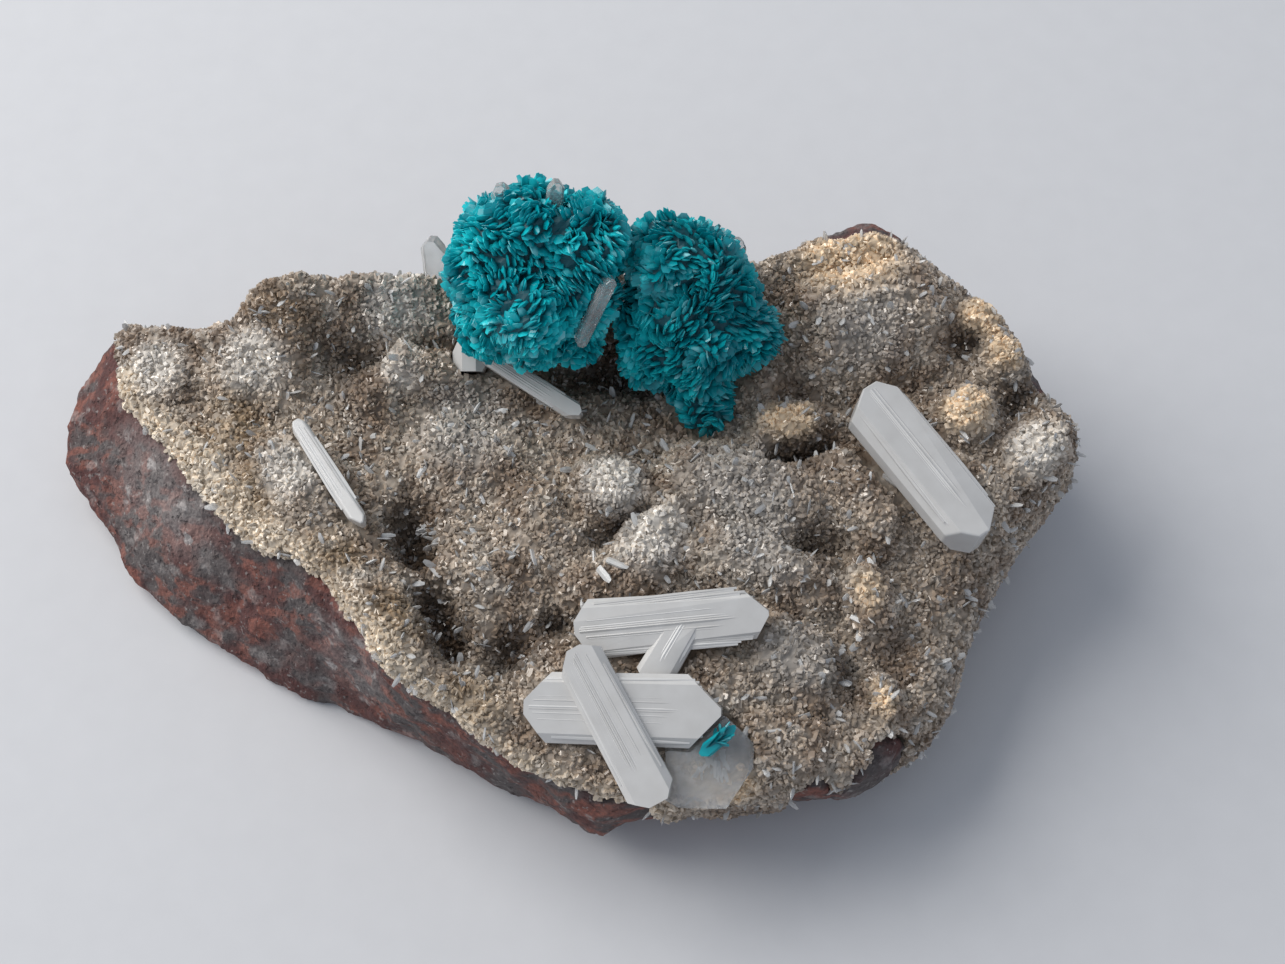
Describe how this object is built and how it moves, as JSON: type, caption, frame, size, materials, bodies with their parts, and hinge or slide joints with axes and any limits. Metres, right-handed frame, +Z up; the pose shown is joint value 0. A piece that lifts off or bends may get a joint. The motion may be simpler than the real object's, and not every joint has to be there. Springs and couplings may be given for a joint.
{
  "type": "cavansite mineral specimen",
  "caption": "Natural mineral specimen: blue cavansite rosettes and white stilbite blades on a tan drusy crust over a wedge of dark basalt.",
  "frame": {"origin": "middle of the flat resting face under the basalt, on the ground", "axes": "+X along the specimen towards its thick right end, +Y from the front edge with the white blades to the back edge with the rosettes, +Z up"},
  "size_m": [0.0921, 0.0548, 0.0361],
  "materials": {
    "basalt": "matt broken basalt, maroon to grey",
    "druse": "crust of small glassy heulandite crystals, tan to grey",
    "cavansite": "vitreous blue-green blades",
    "stilbite": "pearly translucent white",
    "clear_crystal": "clear to milky, vitreous"
  },
  "bodies": {
    "root": {"basalt_matrix": "basalt", "heulandite_druse": "druse", "cavansite_rosette_left": "cavansite", "cavansite_rosette_right": "cavansite", "cavansite_fleck": "cavansite", "stilbite_cluster": "stilbite", "stilbite_plate": "clear_crystal", "stilbite_block": "stilbite", "stilbite_needle_left": "stilbite", "stilbite_needle_centre": "stilbite", "stilbite_rod": "clear_crystal", "clear_crystal_back": "clear_crystal", "clear_crystal_top_left": "clear_crystal", "clear_crystal_top": "clear_crystal", "clear_crystal_right": "clear_crystal"}
  },
  "joints": []
}
